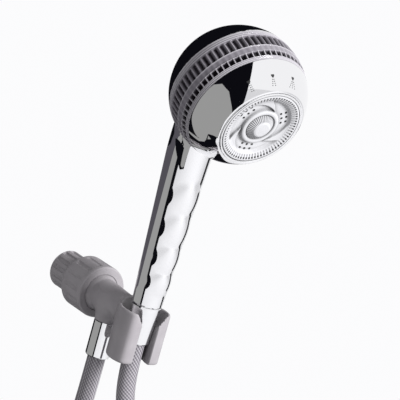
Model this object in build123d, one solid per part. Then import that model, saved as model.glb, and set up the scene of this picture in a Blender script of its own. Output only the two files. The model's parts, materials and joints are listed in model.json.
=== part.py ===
from build123d import *
import os
from math import asin, cos, degrees, pi, radians, sin, sqrt, tan

# A handheld shower head resting in its swivel bracket, with its hose, in millimetres.
# The whole part is first laid out square: the shower arm's axis runs along -Y from the
# origin, and the handle stands along +Z. Then it all pitches forward by PITCH about X.

# ---- driving dimensions -------------------------------------------------------------
PITCH = 25.0              # how far the shower arm points down from level, degrees
RUN_FIT = 0.05            # radial clearance of turning fits

ARM_THREAD_R = 10.45      # half-inch pipe thread of the shower arm
ARM_THREAD_DEPTH = 13.0
WASHER_SEAT_R = 9.4       # seat of the washer, past the thread's relief groove
WASHER_SEAT_S = 17.6
COLLAR_R = 16.0
COLLAR_LENGTH = 25.5
BALL_R = 16.0
BALL_S = 49.5             # ball centre along the arm axis
NUT_R = 21.9
NUT_BACK_S = 27.7
NUT_FRONT_S = 54.9
BARREL_R = 18.5           # threaded barrel that the retaining nut runs on
NECK_R = 13.4
NECK_END_R = 11.0

OUTLET_Y = -71.0          # axis of the hose outlet
OUTLET_SHOULDER_Z = -17.5
CONNECTOR_R = 9.9
CONNECTOR_LENGTH = 30.0

CRADLE_Y = -114.0         # axis of the cradle and of the handle
CRADLE_R = 21.0
CRADLE_TOP_Z = 9.5
CRADLE_BOTTOM_Z = -33.0
SLOT_WIDTH = 16.0
CRADLE_FLAT = 12.5        # the arms end in flats this far ahead of the axis

HANDLE_END_Z = 13.5       # seam between handle and hose nut
HANDLE_END_R = 12.0
HANDLE_TAPER = 0.0455     # radius gained per millimetre up the handle
CREASES = (26.0, 45.0, 68.0, 94.0, 120.0)
BEAD_RISE = 1.3
CONE_TOP_R = 11.8
CONE_BOTTOM_R = 9.7
CONE_BOTTOM_Z = -18.0
HANDLE_THREAD_R = 10.2

HEAD_R = 52.0
HEAD_Y = -151.0
HEAD_Z = 196.0
HEAD_DIP = 23.5           # head axis below the shower arm's axis, degrees
SHELL = 2.6               # wall of the chromed shells
RING_BACK_U = -13.5       # clear ring along the head axis, from the ball's centre
RING_FRONT_U = 17.4
FACE_U = 38.7             # front edge of the chromed ball
BEZEL_R = 33.4
FACE_R = 31.6
CAP_R = 11.2
LOBES = (30, 150, 270)    # the face's three sunken lobes, degrees round the head axis
CORE_R = 46.4
SIGN_U = 29.2             # drops of the spray signs, along the head axis
BEZEL_FOOT_U = FACE_U - 1.8
FLANGE_U = RING_FRONT_U + 2
SCREW_TIP_U = 11.0
SCREW_RING = 44.9         # screws that hold the front shell to the drum
SCREW_R = 0.9
TEETH = 64
DETENT_RING = 36.0        # track of the detent ball on the drum's back
SELECTOR_THROW = 40.0     # degrees from the middle spray to either other one

HOSE_R = 7.5
COIL_R = 72.0             # middle of the coiled hose's turns
COIL_CENTRE = (0, -50, -236)
COIL_HALF_WIDTH = 26.0


# ---- frames -------------------------------------------------------------------------
WORLD = Rot(PITCH, 0, 0)
ARM = Plane((0, 0, 0), x_dir=(1, 0, 0), z_dir=(0, -1, 0))
OUTLET = Location((0, OUTLET_Y, 0))
HANDLE = Location((0, CRADLE_Y, 0))
DIP = radians(HEAD_DIP)
HEAD = Plane((0, HEAD_Y, HEAD_Z), x_dir=(1, 0, 0), z_dir=(0, -cos(DIP), -sin(DIP)))

parts = {}


def turned(points):
    """Solid of revolution about Z from (radius, height) points."""
    return revolve(make_face(Polyline(*[(r, 0, h) for r, h in points], close=True)), Axis.Z)


def tube(outer, inner, low, high):
    return turned([(inner, low), (outer, low), (outer, high), (inner, high)])


def rod(radius, low, high, x=0, y=0):
    return Pos(x, y, (low + high) / 2) * Cylinder(radius, high - low)


def ball(radius, height=0):
    return Pos(0, 0, height) * Sphere(radius)


def polar(shape, count, start=0.0, span=360.0):
    """Copies of a shape turned about Z."""
    return [Rot(0, 0, start + span * i / count) * shape for i in range(count)]


def torus(ring_r, wire_r, height):
    return Pos(0, 0, height) * Torus(ring_r, wire_r)


def coil_spring(radius, wire, low, high, turns):
    """A round-wire compression spring about Z."""
    height = high - low - 2 * wire
    path = Helix(height / turns, height, radius)
    section = Plane(path @ 0, z_dir=path % 0) * Circle(wire)
    return Pos(0, 0, low + wire) * sweep(section, path=path, is_frenet=True)


def largest(shape):
    return shape.solids().sort_by(SortBy.VOLUME)[-1]


def sphere_r(height, radius=HEAD_R):
    """Radius of the head's ball at a height along its axis."""
    return sqrt(radius ** 2 - height ** 2)


# ---- wall fitting and swivel --------------------------------------------------------
def inlet_fitting():
    seat = 36.0
    body = turned([(0, 0), (COLLAR_R - 1, 0), (COLLAR_R, 1.2), (COLLAR_R, COLLAR_LENGTH - 1),
                   (COLLAR_R - 1, COLLAR_LENGTH), (13.5, COLLAR_LENGTH), (13.5, NUT_BACK_S + 0.8),
                   (BARREL_R, NUT_BACK_S + 0.8), (BARREL_R, 46), (0, 46)])
    body -= rod(ARM_THREAD_R, -1, ARM_THREAD_DEPTH)
    body -= rod(ARM_THREAD_R + 0.7, ARM_THREAD_DEPTH, ARM_THREAD_DEPTH + 1.5)
    body -= rod(WASHER_SEAT_R, ARM_THREAD_DEPTH, WASHER_SEAT_S)
    body -= rod(7, WASHER_SEAT_S - 1, 31)
    body -= rod(9.2, 30, seat)
    body -= rod(16.5, seat, 47)
    flute = rod(4.5, 3.0, COLLAR_LENGTH - 4.0, x=COLLAR_R + 3.7)
    body -= polar(flute, 14)
    return ARM * body


def inlet_washer():
    return ARM * tube(WASHER_SEAT_R - 0.1, 6.5, WASHER_SEAT_S - 2.0, WASHER_SEAT_S)


def inlet_screen():
    disc = rod(WASHER_SEAT_R - 0.1, WASHER_SEAT_S - 3.0, WASHER_SEAT_S - 2.0)
    for ring, count in ((3.0, 6), (5.8, 12)):
        disc -= polar(rod(0.9, WASHER_SEAT_S - 4.0, WASHER_SEAT_S - 1.0, x=ring), count)
    return ARM * disc


def seat_ring():
    ring = tube(16.4, 9.0, 36.1, 42.5)
    return ARM * (ring - ball(BALL_R + RUN_FIT, BALL_S))


def retaining_nut():
    bore = BARREL_R + RUN_FIT
    nut = turned([(0, NUT_BACK_S), (NUT_R - 1.2, NUT_BACK_S), (NUT_R, NUT_BACK_S + 1.4),
                  (NUT_R, NUT_FRONT_S - 1.2), (NUT_R - 1.0, NUT_FRONT_S), (0, NUT_FRONT_S)])
    nut -= rod(bore, NUT_BACK_S - 1, 46.3)
    nut -= ball(BALL_R + RUN_FIT, BALL_S)
    flute = rod(8.0, NUT_BACK_S + 4.5, NUT_FRONT_S - 5.0, x=NUT_R + 7.35)
    nut -= polar(flute, 14)
    return ARM * nut


def bracket():
    """Swivel ball, neck, hose outlet and split cradle, moulded in one piece."""
    body = ARM * ball(BALL_R, BALL_S)
    neck = turned([(0, BALL_S + 4), (NECK_R, BALL_S + 4), (NECK_END_R, 100), (0, 100)])
    body += ARM * neck
    stub = turned([(0, 6), (10.4, 6), (10.4, -12), (CONNECTOR_R, OUTLET_SHOULDER_Z),
                   (8.2, OUTLET_SHOULDER_Z), (8.2, -29), (0, -29)])
    body += OUTLET * stub
    cradle = rod(CRADLE_R, CRADLE_BOTTOM_Z, CRADLE_TOP_Z)
    cradle -= Pos(0, -CRADLE_FLAT - 20, 0) * Box(60, 40, 120)
    body += HANDLE * cradle
    gap = 0.12
    socket = turned([(0, CRADLE_BOTTOM_Z - 1), (9.4, CRADLE_BOTTOM_Z - 1), (CONE_BOTTOM_R + gap, CONE_BOTTOM_Z),
                     (cone_r(-3) + gap, -3), (14.5, 0.5), (18.8, CRADLE_TOP_Z), (18.8, 30), (0, 30)])
    slot = Pos(0, -15, 0) * Box(SLOT_WIDTH, 30, 120)
    body -= HANDLE * (socket + slot)
    body -= ARM * rod(5, 30, -OUTLET_Y)
    body -= OUTLET * rod(5, -30, 0)
    return body


def cone_r(height):
    """Outside radius of the hose's cone nut at a height."""
    share = (height - CONE_BOTTOM_Z) / (HANDLE_END_Z - CONE_BOTTOM_Z)
    return CONE_BOTTOM_R + share * (CONE_TOP_R - CONE_BOTTOM_R)


# ---- hose ends ----------------------------------------------------------------------
CONNECTOR_END_Z = OUTLET_SHOULDER_Z - CONNECTOR_LENGTH


def outlet_connector():
    top = OUTLET_SHOULDER_Z - 0.1
    body = turned([(8.25, top), (CONNECTOR_R, top), (CONNECTOR_R, CONNECTOR_END_Z + 0.6),
                   (CONNECTOR_R - 0.6, CONNECTOR_END_Z), (7.6, CONNECTOR_END_Z), (7.6, -34),
                   (8.25, -34)])
    return OUTLET * body


def outlet_washer():
    return OUTLET * tube(8.1, 5.2, -31, -29)


def nipple(flange_r, top, bottom):
    return turned([(3.4, top), (flange_r, top), (flange_r, top - 2), (5.2, top - 2), (5.2, bottom), (3.4, bottom)])


def ferrule(top, bottom):
    return turned([(5.2, top), (7.0, top), (7.5, top - 1), (7.5, bottom), (5.2, bottom)])


def cone_nut():
    nut = turned([(HANDLE_THREAD_R + RUN_FIT, HANDLE_END_Z - 0.1), (CONE_TOP_R, HANDLE_END_Z - 0.1),
                  (CONE_BOTTOM_R, CONE_BOTTOM_Z), (7.8, CONE_BOTTOM_Z), (7.8, -2.6),
                  (9.05, -2.6), (9.05, 1.5), (HANDLE_THREAD_R + RUN_FIT, 1.5)])
    return HANDLE * nut


# ---- handle -------------------------------------------------------------------------
def handle_form(inset, low):
    """Tapered handle that bends forward into the head."""
    stations = [(low, CRADLE_Y, 0, handle_r(low)),
                (75, CRADLE_Y, 0, handle_r(75)), (130, CRADLE_Y, 0, 17.2),
                (155, CRADLE_Y - 1.5, 7, 18.2), (178, CRADLE_Y - 6.5, 17, 18.6)]
    rings = []
    for height, y, lean, radius in stations:
        rings.append(Pos(0, y, height) * Rot(lean, 0, 0) * Circle(radius - inset))
    return loft(rings)


def head_cap(radius):
    cap = ball(radius) - Pos(0, 0, 60 + RING_BACK_U - 0.05) * Box(200, 200, 120)
    return HEAD * cap


def handle_r(height):
    return HANDLE_END_R + (height - HANDLE_END_Z) * HANDLE_TAPER


def finger_beads():
    """Swells down the front of the handle, meeting in creases that a finger rests in."""
    beads = []
    for low, high in zip(CREASES, CREASES[1:]):
        middle = (low + high) / 2
        radius = handle_r(middle)
        half = (high - low) / 2 / sqrt(1 - (1 - BEAD_RISE / radius) ** 2)
        swell = scale(Sphere(radius), (1, 1, half / radius))
        beads.append(Pos(0, CRADLE_Y - BEAD_RISE, middle) * swell)
    return beads


def rear_shell():
    outer = handle_form(0, HANDLE_END_Z) + finger_beads() + head_cap(HEAD_R)
    inner = handle_form(SHELL, 28) + head_cap(HEAD_R - SHELL)
    drum_space = ball(HEAD_R + 0.75) & Pos(0, 0, 40 + RING_BACK_U - 0.1) * Box(200, 200, 80)
    shell = outer - inner - HEAD * drum_space
    shell -= HANDLE * rod(HANDLE_THREAD_R, 0, 30)
    return largest(shell)


def thread_insert():
    body = turned([(7.0, 2.2), (HANDLE_THREAD_R, 2.2), (HANDLE_THREAD_R, 28), (7.2, 28), (7.2, 24),
                   (4.6, 24), (4.6, 22.7), (7.0, 22.7), (7.0, 12.2), (5.2, 11.2), (5.2, 10), (7.0, 10)])
    return HANDLE * body


TUBE_FOOT = (0, CRADLE_Y, 24.3)
TUBE_BEND = (0, CRADLE_Y + 6.5, 155)
TUBE_TOP = (0, -124.1, 196.8)
TUBE_R = 6.8
TUBE_BORE_R = 4.6


def water_tube():
    path = FilletPolyline(TUBE_FOOT, TUBE_BEND, TUBE_TOP, radius=30)
    start = Plane(path @ 0, z_dir=path % 0)
    body = sweep(start * Circle(TUBE_R), path=path) - sweep(start * Circle(TUBE_BORE_R), path=path)
    body -= HEAD * rod(13.0, -36, 0)
    return body & (HANDLE * rod(60, 24.2, 250))


def manifold():
    """Fixed water hub in the head: closes the rear shell and feeds the selected port."""
    body = rod(CORE_R - 0.4, -17, -13) + rod(13, -36, -16)
    body -= rod(8, -33, -16)
    body -= rod(4.0, -16.1, -12)
    body -= rod(5.6, -18, -12, y=20)
    body -= rod(1.75, -15.6, -12, x=DETENT_RING)
    body = HEAD * body
    path = Line(TUBE_BEND, TUBE_TOP)
    return body - sweep(Plane(origin=path @ 0, z_dir=path % 0) * Circle(TUBE_BORE_R), path=path)


def pivot_post():
    """Brass post on which the spray drum turns."""
    post = rod(3.95, -33, 17) + rod(7.9, -33, -31) - rod(1.6, 6, 18)
    return HEAD * post


# ---- spray drum, which turns with the clear ring ------------------------------------
def drum():
    body = tube(CORE_R, 4.0, -9.5, -5.5)
    body += tube(CORE_R, CORE_R - 3, -12.2, RING_FRONT_U - 0.4)
    body += tube(9, 4.0, -6, 15)
    body += tube(30, 28, -6, 27.6)
    for angle in (90, 210, 330):
        body -= Rot(0, 0, angle) * rod(3.2, -10, -5, x=20)
    body -= torus(DETENT_RING, 1.7, -10.85)
    for angle in (-SELECTOR_THROW, 0, SELECTOR_THROW):
        body -= Rot(0, 0, angle) * Pos(DETENT_RING, 0, -10.6) * Sphere(1.7)
    body -= polar(rod(SCREW_R + 0.02, SCREW_TIP_U - 1, RING_FRONT_U, x=SCREW_RING), 6, start=30)
    return HEAD * body


def selector_ring():
    """Clear moulded grip ring: two rims with a row of grip teeth against each."""
    inner = CORE_R + RUN_FIT
    wall = 1.9
    outline = [(inner, RING_BACK_U), (sphere_r(RING_BACK_U), RING_BACK_U)]
    outline += [(sphere_r(u) - depth, u) for u, depth in
                ((-7.5, 0.0), (-7.4, wall), (14.5, wall), (14.6, 0.0), (RING_FRONT_U - 0.05, 0.0))]
    outline += [(inner, RING_FRONT_U - 0.05)]
    ring = turned(outline)
    teeth = []
    for low, high in ((-7.6, 4.5), (10.0, 14.7)):
        block = Pos(HEAD_R - 2.6, 0, (low + high) / 2) * Box(4.0, 2.9, high - low)
        teeth += polar(block, TEETH)
    shell = ball(HEAD_R + 0.35) - ball(HEAD_R - 3.0)
    teeth = (Part() + teeth) & shell
    return HEAD * (ring + teeth)


def front_shell():
    shell = (ball(HEAD_R) - ball(HEAD_R - SHELL)) & rod(80, RING_FRONT_U, FACE_U)
    shell -= rod(BEZEL_R + 0.05, BEZEL_FOOT_U, 60)
    shell += tube(sphere_r(FLANGE_U) - 0.5, 43.5, RING_FRONT_U, FLANGE_U)
    shell -= polar(rod(SCREW_R + 0.02, SCREW_TIP_U, FLANGE_U + 1, x=SCREW_RING), 6, start=30)
    shell -= polar(rod(1.85, FLANGE_U, FLANGE_U + 1.6, x=SCREW_RING), 6, start=30)
    return HEAD * shell - icon_marks()


def sign_place(angle, across, down):
    """A place on the front shell, in millimetres across and down from a spray sign's drop."""
    lift = asin(SIGN_U / HEAD_R) + down / HEAD_R
    turn = angle + degrees(across / HEAD_R / cos(lift))
    return Rot(0, 0, turn) * Rot(0, 90 - degrees(lift), 0) * Pos(0, 0, HEAD_R)


def icon_marks():
    """Three generic spray signs: a drop over dots that spread, set a hair into the front shell."""
    marks = []
    for angle, columns, spread in ((78, 3, 0.55), (104, 2, 0.4), (130, 2, 0.15)):
        marks.append(sign_place(angle, 0, 0) * Box(1.5, 2.7, 1.4))
        marks.append(sign_place(angle, 0, 1.0) * Cylinder(0.8, 1.4))
        for row in range(4):
            for column in range(columns):
                across = (column - (columns - 1) / 2) * (1.1 + spread * row)
                marks.append(sign_place(angle, across, 3.0 + 1.5 * row) * Cylinder(0.38, 1.4))
    return HEAD * ((Part() + marks) & (ball(HEAD_R + 0.04) - ball(HEAD_R - 0.25)))


def bezel_ring():
    rim = turned([(FACE_R + 0.05, BEZEL_FOOT_U + 0.02), (BEZEL_R, BEZEL_FOOT_U + 0.02), (BEZEL_R, FACE_U + 0.2),
                  (BEZEL_R - 0.5, FACE_U + 0.6), (FACE_R + 0.5, FACE_U + 0.6), (FACE_R + 0.05, FACE_U + 0.2)])
    return HEAD * rim


def face_lobe():
    """One sunken lobe of the face, about the X axis: a crescent that starts beside the cap."""
    edge = [(18.6, -58), (21.4, -40), (23.5, -26), (25.0, -10), (25.2, 15), (25.2, 40), (25.0, 66),
            (22.6, 61), (18.4, 50), (15.4, 36)]
    edge += [(15.4, angle) for angle in range(21, -81, -15)]
    outline = Polyline(*[(r * cos(radians(a)), r * sin(radians(a))) for r, a in edge], close=True)
    return Pos(0, 0, FACE_U - 2.8) * extrude(make_face(outline), 3)


def spray_face():
    """Dished face plate: slotted rim, three sunken lobes with six jets each, and a raised ring."""
    face = turned([(0, 32.5), (FACE_R, 32.5), (FACE_R, FACE_U), (30.8, FACE_U + 0.5), (29.6, FACE_U + 0.3),
                   (25.4, FACE_U - 1.0), (24.6, FACE_U - 1.5), (15.2, FACE_U - 1.5), (14.2, FACE_U - 0.9),
                   (12.2, FACE_U - 0.9), (CAP_R + 0.2, FACE_U - 1.6), (CAP_R + 0.2, FACE_U - 2.6), (0, FACE_U - 2.6)])
    jets = []
    for angle in LOBES:
        for row in (18.5, 22.4):
            for side in (-4.6, 0, 4.6):
                jets.append(Rot(0, 0, angle) * rod(0.8, 30, 42, x=row - side ** 2 / (2 * row), y=side))
    slot = Pos(27.7, 0, FACE_U) * Box(4.0, 0.8, 3.0)
    face -= [Rot(0, 0, angle) * face_lobe() for angle in LOBES]
    face -= jets
    face -= polar(slot, 72)
    return HEAD * face


def centre_cap():
    cap = turned([(0, FACE_U - 2.55), (CAP_R, FACE_U - 2.55), (CAP_R, FACE_U - 1.6), (7.2, FACE_U + 1.3),
                  (5.6, FACE_U + 2.0), (0, FACE_U + 2.3)])
    groove = Pos(9.2, 0, FACE_U - 0.1) * Rot(0, 36, 0) * Box(4.6, 0.5, 1.0)
    return HEAD * (cap - polar(groove, 40))


def jet_plate():
    plate = tube(27.8, 2.2, 27.9, 30.4)
    plate -= polar(rod(0.9, 27, 31, x=17.4), 12)
    return HEAD * plate


def turbine():
    """Pulse wheel that the water spins behind the jet plate."""
    hub = rod(4.0, 19.5, 26.0) - rod(1.6, 19, 27)
    blade = Pos(9.0, 0, 22.5) * Rot(25, 0, 0) * Box(12, 0.9, 5)
    rim = tube(16.0, 14.8, 20.5, 24.5)
    return HEAD * (hub + polar(blade, 9) + rim)


def turbine_axle():
    return HEAD * (rod(1.55, 6.1, 32.4))


def port_seal():
    return HEAD * Pos(0, 20, 0) * tube(5.5, 3.0, -13.4, -9.55)


def seal_spring():
    return HEAD * Pos(0, 20, 0) * coil_spring(4.2, 0.45, -17.0, -13.45, 4)


def detent_ball():
    return HEAD * Pos(DETENT_RING, 0, -10.9) * Sphere(1.6)


def detent_spring():
    return HEAD * Pos(DETENT_RING, 0, 0) * coil_spring(1.15, 0.25, -15.5, -12.7, 4)


def drum_seal():
    return HEAD * torus(31.5, 1.4, 31.0)


def post_seal():
    return HEAD * torus(5.0, 0.98, -11.3)


def face_screws():
    screw = rod(SCREW_R, SCREW_TIP_U, FLANGE_U, x=SCREW_RING)
    screw += rod(1.8, FLANGE_U, FLANGE_U + 1.4, x=SCREW_RING)
    return HEAD * (Part() + polar(screw, 6, start=30))


def filter_screen():
    disc = rod(6.9, 2.4, 3.4)
    holes = []
    for ring, count in ((2.6, 6), (5.0, 12)):
        holes += polar(rod(0.7, 2, 4, x=ring), count)
    return HANDLE * (disc - holes)


def flow_restrictor():
    disc = rod(6.9, 4.2, 8.4)
    return HANDLE * (disc - polar(rod(1.1, 4, 9, x=3.6), 4))


def check_poppet():
    poppet = turned([(0, 11.4), (4.6, 11.4), (5.8, 12.6), (5.8, 14.4), (1.6, 14.4), (1.6, 19.5), (0, 19.5)])
    return HANDLE * poppet


def check_spring():
    return HANDLE * coil_spring(3.4, 0.4, 14.4, 22.6, 5)


def hose_washer():
    return HANDLE * tube(9.0, 6.2, 0.1, 2.1)


# ---- hose: two free legs and one tied coil ------------------------------------------
OUTLET_ROUTE = [(0, -44.3, -73.0), (0, -32.9, -97.6), (-3, -23.5, -124.0), (-8, -11.0, -152.0),
                (-14, 4.0, -181.0), (-18, 15.8, -211.0), (-18.5, 22.0, -236.0)]
HANDSET_ROUTE = [(0, -95.7, -64.5), (0, -84.6, -88.3), (0, -80.6, -116.0), (4, -85.5, -145.0),
                 (11, -96.0, -173.0), (16, -108.5, -201.0), (18.5, -118.5, -228.0), (18.5, -122.0, -250.0)]
BEND_SHARE = 0.45  # part of the shorter run that a bend may use up


def exit_point(axis_y, height):
    """Where a hose leaves its fitting, and the way that it points."""
    at = WORLD * Location((0, axis_y, height))
    return at.position, (WORLD * Location((0, axis_y, height - 10))).position - at.position


def leg(axis_y, height, route):
    """Free length of hose, leaving its fitting straight and bending easily after that."""
    start, way = exit_point(axis_y, height)
    run = (Vector(*route[1]) - Vector(*route[0])).length
    points = [start, start + way.normalized() * run] + [Vector(*p) for p in route[2:]]
    radii = []
    for before, here, after in zip(points, points[1:], points[2:]):
        turn = (here - before).get_angle(after - here)
        shorter = min((here - before).length, (after - here).length)
        radii.append(BEND_SHARE * shorter / tan(radians(turn) / 2))
    path = FilletPolyline(*points, radius=radii)
    return sweep(Plane(origin=path @ 0, z_dir=path % 0) * Circle(HOSE_R), path=path)


def hose_coil():
    """Outer shape of the tied coil, lying in the YZ plane."""
    ring = tube(COIL_R + HOSE_R + 0.3, COIL_R - HOSE_R - 0.3, -COIL_HALF_WIDTH, COIL_HALF_WIDTH)
    return Location(COIL_CENTRE) * Rot(0, 90, 0) * ring


def coil_tie():
    """Strap round the coil's section at its foot."""
    low = COIL_R - HOSE_R - 0.9
    high = COIL_R + HOSE_R + 0.4
    width = 2 * COIL_HALF_WIDTH + 0.2
    band = Box(width + 3, 14, high - low + 3) - Box(width, 20, high - low)
    return Location(COIL_CENTRE) * Pos(0, 0, -(low + high) / 2) * band


# ---- writing ------------------------------------------------------------------------
def keep(node, shape, pitched=True):
    """Place a finished node in the part's own frame."""
    shape = WORLD * shape if pitched else shape
    solids = shape.solids()
    parts[node] = solids[0] if len(solids) == 1 else Compound(children=list(solids))


for maker in (inlet_fitting, inlet_washer, inlet_screen, seat_ring, retaining_nut, bracket,
              outlet_connector, outlet_washer, cone_nut, hose_washer, rear_shell, thread_insert,
              water_tube, manifold, pivot_post, drum, selector_ring, front_shell, icon_marks,
              bezel_ring, spray_face, centre_cap, jet_plate, turbine, turbine_axle, port_seal,
              seal_spring, detent_ball, detent_spring, drum_seal, post_seal, face_screws,
              filter_screen, flow_restrictor, check_poppet, check_spring):
    keep(maker.__name__, maker())

keep("outlet_nipple", OUTLET * nipple(8.1, -31, CONNECTOR_END_Z))
keep("outlet_ferrule", OUTLET * ferrule(-35, CONNECTOR_END_Z))
keep("handset_nipple", HANDLE * nipple(9.0, 0, CONE_BOTTOM_Z))
keep("handset_ferrule", HANDLE * ferrule(-4, CONE_BOTTOM_Z))

coil = hose_coil()
keep("hose_coil", coil, pitched=False)
keep("coil_tie", coil_tie(), pitched=False)
outlet_leg = leg(OUTLET_Y, CONNECTOR_END_Z, OUTLET_ROUTE)
handset_leg = leg(CRADLE_Y, CONE_BOTTOM_Z, HANDSET_ROUTE)
keep("hose_outlet_leg", largest(outlet_leg - coil), pitched=False)
keep("hose_handset_leg", largest(handset_leg - coil), pitched=False)

os.makedirs("parts", exist_ok=True)
for node, shape in parts.items():
    export_step(shape, "parts/" + node + ".step")
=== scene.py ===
"""A handheld shower head resting in its swivel bracket, with its hose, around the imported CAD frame."""
import json
import math
import bpy
import numpy as np
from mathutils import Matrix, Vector


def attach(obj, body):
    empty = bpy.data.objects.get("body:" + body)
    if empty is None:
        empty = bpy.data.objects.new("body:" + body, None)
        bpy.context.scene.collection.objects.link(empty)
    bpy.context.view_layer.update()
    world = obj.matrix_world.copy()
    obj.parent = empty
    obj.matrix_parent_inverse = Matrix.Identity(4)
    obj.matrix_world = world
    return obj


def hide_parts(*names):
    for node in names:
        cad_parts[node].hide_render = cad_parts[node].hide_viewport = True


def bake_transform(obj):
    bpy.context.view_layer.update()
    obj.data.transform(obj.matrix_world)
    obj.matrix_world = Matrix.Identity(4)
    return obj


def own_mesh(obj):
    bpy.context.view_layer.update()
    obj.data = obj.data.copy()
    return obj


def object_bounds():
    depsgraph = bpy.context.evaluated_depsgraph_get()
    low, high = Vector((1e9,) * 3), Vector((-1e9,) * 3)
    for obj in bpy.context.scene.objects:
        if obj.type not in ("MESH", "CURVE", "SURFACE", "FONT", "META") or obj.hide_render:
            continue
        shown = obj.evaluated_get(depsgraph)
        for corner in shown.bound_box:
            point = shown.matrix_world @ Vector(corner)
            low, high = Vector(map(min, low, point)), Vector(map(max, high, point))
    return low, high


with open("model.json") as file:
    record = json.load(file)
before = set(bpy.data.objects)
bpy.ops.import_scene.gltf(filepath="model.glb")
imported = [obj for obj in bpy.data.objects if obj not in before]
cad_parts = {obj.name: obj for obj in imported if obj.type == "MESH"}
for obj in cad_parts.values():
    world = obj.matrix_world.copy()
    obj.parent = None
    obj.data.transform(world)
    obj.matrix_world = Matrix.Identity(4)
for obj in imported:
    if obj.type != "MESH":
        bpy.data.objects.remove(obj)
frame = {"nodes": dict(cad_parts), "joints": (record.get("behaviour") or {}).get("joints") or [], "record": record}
cad_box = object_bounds()

TAU = 2 * math.pi
MM = 0.001
JOINT = {j["name"]: j for j in frame["joints"]}


# ---- places: millimetre frames whose Z runs along an axis of the mechanism -----------------------
class Place:
    """A frame with its origin in metres, its Z along an axis and its X kept level."""

    def __init__(self, origin_m, axis):
        z = np.array(axis, float)
        self.z = z / np.linalg.norm(z)
        self.x = np.array([1.0, 0.0, 0.0])
        self.y = np.cross(self.z, self.x)
        self.origin = np.array(origin_m, float)

    def world(self, points):
        """Metres in the part's frame, from millimetres in this place."""
        p = np.atleast_2d(np.asarray(points, float)) * MM
        return self.origin + p[:, :1] * self.x + p[:, 1:2] * self.y + p[:, 2:3] * self.z

    def turned(self, normals):
        """Directions in the part's frame, from directions in this place."""
        n = np.asarray(normals, float)
        return n[:, :1] * self.x + n[:, 1:2] * self.y + n[:, 2:3] * self.z


ARM = Place((0, 0, 0), JOINT["swivel_turn"]["axis"])
HANDLE = Place(JOINT["handset_swivel"]["pos_m"], JOINT["handset_swivel"]["axis"])
HEAD = Place(JOINT["spray_selector"]["pos_m"], JOINT["spray_selector"]["axis"])
SQUARE = Place((0, 0, 0), HANDLE.z)  # the shower arm runs along its -Y, and the handle along its Z
OUTLET_SETBACK = 43.0
OUTLET = Place(HANDLE.origin - OUTLET_SETBACK * MM * ARM.z, HANDLE.z)
BALL_S = 49.5
HEAD_R = 52.0


# ---- camera --------------------------------------------------------------------------------------
def look_from(target, azimuth, elevation, distance):
    """A position round a target, and the direction back to it from there. Azimuth 0 is the front."""
    a, e = math.radians(azimuth), math.radians(elevation)
    back = Vector((math.sin(a) * math.cos(e), -math.cos(a) * math.cos(e), math.sin(e)))
    return Vector(target) + back * distance, back


CAMERA_TARGET = (0.0011, -0.1733, 0.0394)
CAMERA_AZIMUTH = -39.25
CAMERA_ELEVATION = -7.4
CAMERA_DISTANCE = 1.5
CAMERA_LENS = 177.9


def make_camera():
    data = bpy.data.cameras.new("camera")
    data.lens = CAMERA_LENS
    data.sensor_width = 36.0
    data.clip_end = 50.0
    camera = bpy.data.objects.new("camera", data)
    bpy.context.scene.collection.objects.link(camera)
    camera.location, back = look_from(CAMERA_TARGET, CAMERA_AZIMUTH, CAMERA_ELEVATION, CAMERA_DISTANCE)
    camera.rotation_euler = back.to_track_quat("Z", "Y").to_euler()
    bpy.context.scene.camera = camera


make_camera()


# ---- mesh tools ----------------------------------------------------------------------------------
def link(name, mesh):
    obj = bpy.data.objects.new(name, mesh)
    bpy.context.scene.collection.objects.link(obj)
    return obj


def build(name, place, verts, faces, material, sharp=None, normals=None):
    """A smooth-shaded mesh object from millimetre points in a place."""
    mesh = bpy.data.meshes.new(name)
    points = place.world(verts) if place else np.asarray(verts, float)
    mesh.from_pydata(points.tolist(), [], [list(map(int, f)) for f in faces])
    mesh.materials.append(material)
    mesh.shade_smooth()
    if sharp:
        mesh.set_sharp_from_angle(angle=math.radians(sharp))
    if normals is not None:
        mesh.normals_split_custom_set_from_vertices(place.turned(normals).tolist())
    mesh.update()
    return link(name, mesh)


def settle(obj, body, slot, *nodes):
    """Rides on a body and stands for the named CAD nodes. Its slot is not used."""
    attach(obj, body)
    if nodes:
        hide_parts(*nodes)
    return obj


def grid_faces(rows, columns, closed=True, flip=False):
    """Quads of a grid of rows by columns, wrapped round its columns if closed."""
    r = np.arange(rows - 1)[:, None]
    c = np.arange(columns if closed else columns - 1)[None, :]
    n = (c + 1) % columns
    quads = np.stack([r * columns + c, r * columns + n, (r + 1) * columns + n, (r + 1) * columns + c], -1)
    quads = quads.reshape(-1, 4)
    return quads[:, ::-1] if flip else quads


def rounded(points, radius, arc=5):
    """An open outline with its inner corners rounded."""
    out = [np.array(points[0], float)]
    for before, here, after in zip(points, points[1:], points[2:]):
        b, h, a = (np.array(p, float) for p in (before, here, after))
        u, v = (b - h), (a - h)
        lu, lv = np.linalg.norm(u), np.linalg.norm(v)
        u, v = u / lu, v / lv
        half = math.acos(max(-1, min(1, float(u @ v)))) / 2
        if half < 0.05 or half > 1.55:
            out.append(h)
            continue
        reach = min(radius / math.tan(half), 0.48 * lu, 0.48 * lv)
        start, end = h + u * reach, h + v * reach
        for i in range(arc + 1):
            t = i / arc
            out.append((1 - t) ** 2 * start + 2 * t * (1 - t) * h + t ** 2 * end)
    out.append(np.array(points[-1], float))
    return np.array(out)


def ring_faces(rows, columns):
    """Quads of a grid closed both ways, as round a ring's section."""
    row, c = np.meshgrid(np.arange(rows), np.arange(columns), indexing="ij")
    below, n = (row + 1) % rows, (c + 1) % columns
    quads = [row * columns + c, row * columns + n, below * columns + n, below * columns + c]
    return np.stack(quads, -1).reshape(-1, 4)


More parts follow.
